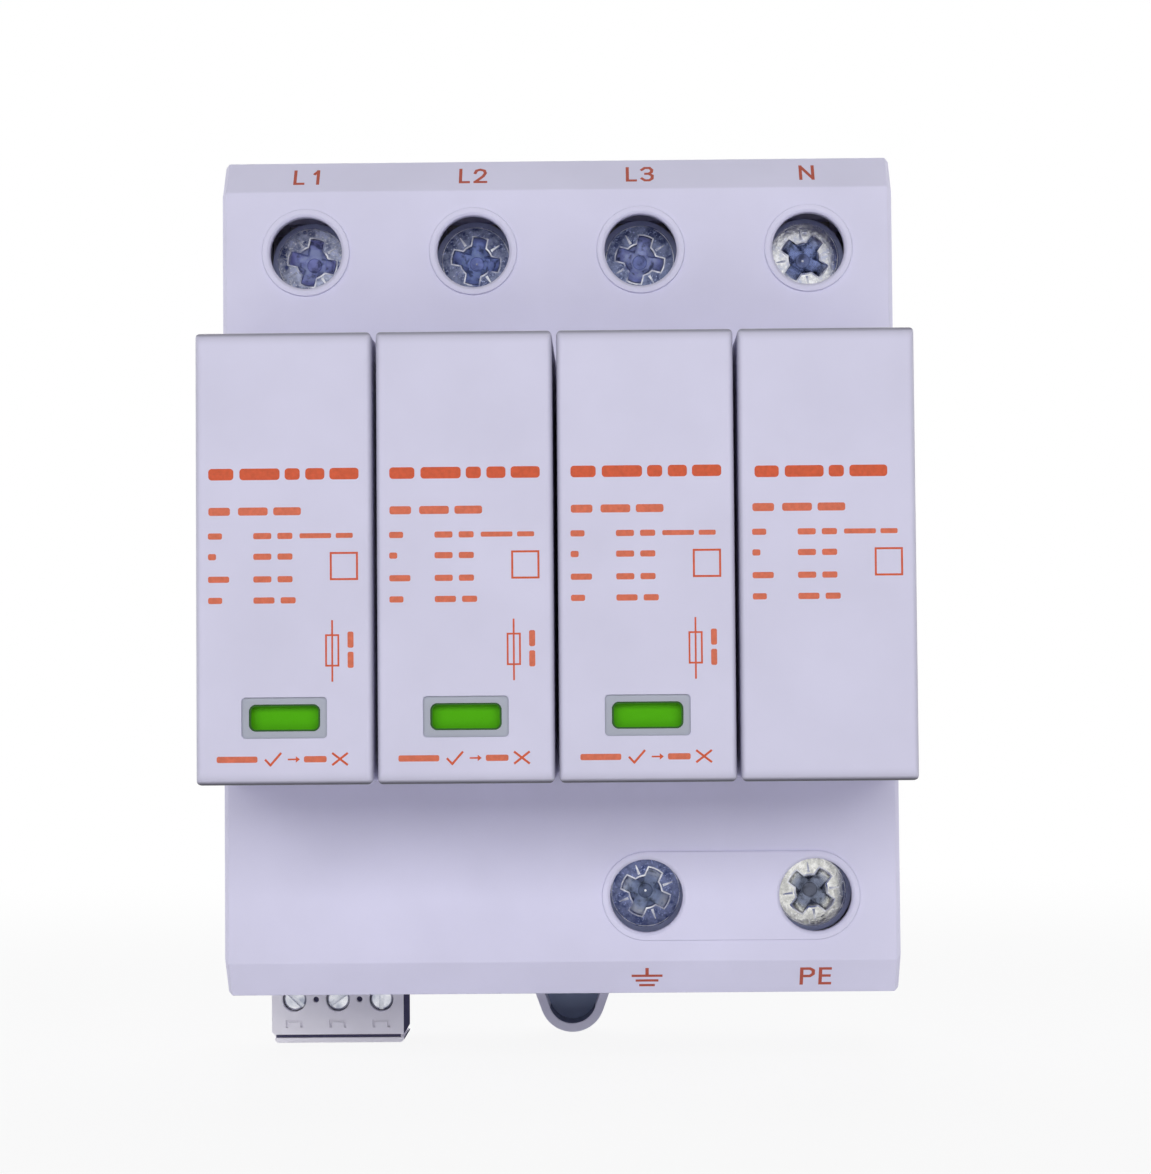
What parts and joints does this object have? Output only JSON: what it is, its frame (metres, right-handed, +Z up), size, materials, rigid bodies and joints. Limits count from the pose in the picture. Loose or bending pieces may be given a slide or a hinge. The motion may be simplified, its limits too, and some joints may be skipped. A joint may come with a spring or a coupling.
{
  "type": "din rail surge arrester",
  "caption": "Rail-mounted surge arrester: plug-in modules with status windows in a terminal base, lift-clamp screw terminals, a sprung rail latch and a pluggable signal terminal.",
  "frame": {"origin": "middle of the rail seat, in the plane that touches the rail's front face, at mid width", "axes": "+X along the rail to the right seen from the front, +Y back to the rail, +Z up as mounted"},
  "size_m": [0.072, 0.0715, 0.0984],
  "materials": {
    "base_plastic": "fine matt",
    "module_plastic": "fine matt",
    "latch_plastic": "fine matt",
    "plug_plastic": "satin",
    "black_plastic": "satin",
    "green_plastic": "satin",
    "red_plastic": "satin",
    "varistor_coat": "satin",
    "zinc_steel": "zinc plated",
    "contact_metal": "tinned"
  },
  "bodies": {
    "base": {"base_housing": "base_plastic", "rail_foot": "base_plastic", "latch_spring": "zinc_steel", "neutral_bar": "contact_metal", "earth_bar": "contact_metal", "line_contact_l1": "contact_metal", "line_contact_l2": "contact_metal", "line_contact_l3": "contact_metal", "signal_switch": "black_plastic", "signal_header": "black_plastic", "signal_pins": "contact_metal"},
    "rail_latch": {"rail_latch": "latch_plastic"},
    "signal_bar": {"signal_bar": "latch_plastic"},
    "signal_plug": {"signal_plug": "plug_plastic", "plug_contacts": "contact_metal"},
    "module_l1": {"module_l1_cover": "module_plastic", "module_l1_carrier": "latch_plastic", "module_l1_blades": "contact_metal", "module_l1_varistor": "varistor_coat", "module_l1_disconnector": "contact_metal", "module_l1_red_field": "red_plastic"},
    "module_l1_flag": {"module_l1_flag": "green_plastic"},
    "module_l2": {"module_l2_cover": "module_plastic", "module_l2_carrier": "latch_plastic", "module_l2_blades": "contact_metal", "module_l2_varistor": "varistor_coat", "module_l2_disconnector": "contact_metal", "module_l2_red_field": "red_plastic"},
    "module_l2_flag": {"module_l2_flag": "green_plastic"},
    "module_l3": {"module_l3_cover": "module_plastic", "module_l3_carrier": "latch_plastic", "module_l3_blades": "contact_metal", "module_l3_varistor": "varistor_coat", "module_l3_disconnector": "contact_metal", "module_l3_red_field": "red_plastic"},
    "module_l3_flag": {"module_l3_flag": "green_plastic"},
    "module_n": {"module_n_cover": "module_plastic", "module_n_carrier": "latch_plastic", "module_n_blades": "contact_metal", "module_n_spark_gap": "black_plastic"},
    "terminal_screw_l1": {"terminal_screw_l1": "zinc_steel"},
    "clamp_cage_l1": {"clamp_cage_l1": "zinc_steel"},
    "terminal_screw_l2": {"terminal_screw_l2": "zinc_steel"},
    "clamp_cage_l2": {"clamp_cage_l2": "zinc_steel"},
    "terminal_screw_l3": {"terminal_screw_l3": "zinc_steel"},
    "clamp_cage_l3": {"clamp_cage_l3": "zinc_steel"},
    "terminal_screw_n": {"terminal_screw_n": "zinc_steel"},
    "clamp_cage_n": {"clamp_cage_n": "zinc_steel"},
    "terminal_screw_pe1": {"terminal_screw_pe1": "zinc_steel"},
    "clamp_cage_pe1": {"clamp_cage_pe1": "zinc_steel"},
    "terminal_screw_pe2": {"terminal_screw_pe2": "zinc_steel"},
    "clamp_cage_pe2": {"clamp_cage_pe2": "zinc_steel"},
    "plug_screw_1": {"plug_screw_1": "zinc_steel"},
    "plug_clamp_1": {"plug_clamp_1": "zinc_steel"},
    "plug_screw_2": {"plug_screw_2": "zinc_steel"},
    "plug_clamp_2": {"plug_clamp_2": "zinc_steel"},
    "plug_screw_3": {"plug_screw_3": "zinc_steel"},
    "plug_clamp_3": {"plug_clamp_3": "zinc_steel"}
  },
  "joints": [
    {"name": "module_l1_pull", "type": "slide", "parent": "base", "child": "module_l1", "axis": [0, -1, 0], "range_m": [0, 0.036]},
    {"name": "module_l1_flag_lift", "type": "slide", "parent": "module_l1", "child": "module_l1_flag", "axis": [0, 0, 1], "range_m": [0, 0.0046]},
    {"name": "module_l2_pull", "type": "slide", "parent": "base", "child": "module_l2", "axis": [0, -1, 0], "range_m": [0, 0.036]},
    {"name": "module_l2_flag_lift", "type": "slide", "parent": "module_l2", "child": "module_l2_flag", "axis": [0, 0, 1], "range_m": [0, 0.0046]},
    {"name": "module_l3_pull", "type": "slide", "parent": "base", "child": "module_l3", "axis": [0, -1, 0], "range_m": [0, 0.036]},
    {"name": "module_l3_flag_lift", "type": "slide", "parent": "module_l3", "child": "module_l3_flag", "axis": [0, 0, 1], "range_m": [0, 0.0046]},
    {"name": "module_n_pull", "type": "slide", "parent": "base", "child": "module_n", "axis": [0, -1, 0], "range_m": [0, 0.036]},
    {"name": "rail_latch_pull", "type": "slide", "parent": "base", "child": "rail_latch", "axis": [0, 0, -1], "range_m": [0, 0.004], "stiffness_N_per_m": 1200, "springref_m": -0.001, "deforming": ["latch_spring"]},
    {"name": "screw_l1_turn", "type": "hinge", "parent": "base", "child": "terminal_screw_l1", "pos_m": [-0.027, -0.035, 0.034], "axis": [0, 1, 0], "range_deg": [0, 3062]},
    {"name": "clamp_l1_lift", "type": "slide", "parent": "base", "child": "clamp_cage_l1", "axis": [0, -1, 0], "range_m": [0, 0.0068]},
    {"name": "screw_l2_turn", "type": "hinge", "parent": "base", "child": "terminal_screw_l2", "pos_m": [-0.009, -0.035, 0.034], "axis": [0, 1, 0], "range_deg": [0, 3062]},
    {"name": "clamp_l2_lift", "type": "slide", "parent": "base", "child": "clamp_cage_l2", "axis": [0, -1, 0], "range_m": [0, 0.0068]},
    {"name": "screw_l3_turn", "type": "hinge", "parent": "base", "child": "terminal_screw_l3", "pos_m": [0.009, -0.035, 0.034], "axis": [0, 1, 0], "range_deg": [0, 3062]},
    {"name": "clamp_l3_lift", "type": "slide", "parent": "base", "child": "clamp_cage_l3", "axis": [0, -1, 0], "range_m": [0, 0.0068]},
    {"name": "screw_n_turn", "type": "hinge", "parent": "base", "child": "terminal_screw_n", "pos_m": [0.027, -0.035, 0.034], "axis": [0, 1, 0], "range_deg": [0, 3062]},
    {"name": "clamp_n_lift", "type": "slide", "parent": "base", "child": "clamp_cage_n", "axis": [0, -1, 0], "range_m": [0, 0.0068]},
    {"name": "screw_pe1_turn", "type": "hinge", "parent": "base", "child": "terminal_screw_pe1", "pos_m": [0.009, -0.035, -0.0352], "axis": [0, 1, 0], "range_deg": [0, 3062]},
    {"name": "clamp_pe1_lift", "type": "slide", "parent": "base", "child": "clamp_cage_pe1", "axis": [0, -1, 0], "range_m": [0, 0.0068]},
    {"name": "screw_pe2_turn", "type": "hinge", "parent": "base", "child": "terminal_screw_pe2", "pos_m": [0.027, -0.035, -0.0352], "axis": [0, 1, 0], "range_deg": [0, 3062]},
    {"name": "clamp_pe2_lift", "type": "slide", "parent": "base", "child": "clamp_cage_pe2", "axis": [0, -1, 0], "range_m": [0, 0.0068]},
    {"name": "signal_plug_pull", "type": "slide", "parent": "base", "child": "signal_plug", "axis": [0, 0, -1], "range_m": [0, 0.009]},
    {"name": "plug_screw_1_turn", "type": "hinge", "parent": "signal_plug", "child": "plug_screw_1", "pos_m": [-0.03188, -0.012, -0.049], "axis": [0, 1, 0], "range_deg": [0, 1682]},
    {"name": "plug_clamp_1_lift", "type": "slide", "parent": "signal_plug", "child": "plug_clamp_1", "axis": [0, -1, 0], "range_m": [0, 0.0021]},
    {"name": "plug_screw_2_turn", "type": "hinge", "parent": "signal_plug", "child": "plug_screw_2", "pos_m": [-0.0268, -0.012, -0.049], "axis": [0, 1, 0], "range_deg": [0, 1682]},
    {"name": "plug_clamp_2_lift", "type": "slide", "parent": "signal_plug", "child": "plug_clamp_2", "axis": [0, -1, 0], "range_m": [0, 0.0021]},
    {"name": "plug_screw_3_turn", "type": "hinge", "parent": "signal_plug", "child": "plug_screw_3", "pos_m": [-0.02172, -0.012, -0.049], "axis": [0, 1, 0], "range_deg": [0, 1682]},
    {"name": "plug_clamp_3_lift", "type": "slide", "parent": "signal_plug", "child": "plug_clamp_3", "axis": [0, -1, 0], "range_m": [0, 0.0021]},
    {"name": "signal_bar_shift", "type": "slide", "parent": "base", "child": "signal_bar", "axis": [1, 0, 0], "range_m": [0, 0.002], "stiffness_N_per_m": 250, "springref_m": -0.0004}
  ],
  "couplings": [
    {"joint": "screw_l1_turn", "follows": "clamp_l1_lift", "rad_per_m": 7854},
    {"joint": "screw_l2_turn", "follows": "clamp_l2_lift", "rad_per_m": 7854},
    {"joint": "screw_l3_turn", "follows": "clamp_l3_lift", "rad_per_m": 7854},
    {"joint": "screw_n_turn", "follows": "clamp_n_lift", "rad_per_m": 7854},
    {"joint": "screw_pe1_turn", "follows": "clamp_pe1_lift", "rad_per_m": 7854},
    {"joint": "screw_pe2_turn", "follows": "clamp_pe2_lift", "rad_per_m": 7854},
    {"joint": "plug_screw_1_turn", "follows": "plug_clamp_1_lift", "rad_per_m": 13963},
    {"joint": "plug_screw_2_turn", "follows": "plug_clamp_2_lift", "rad_per_m": 13963},
    {"joint": "plug_screw_3_turn", "follows": "plug_clamp_3_lift", "rad_per_m": 13963}
  ]
}
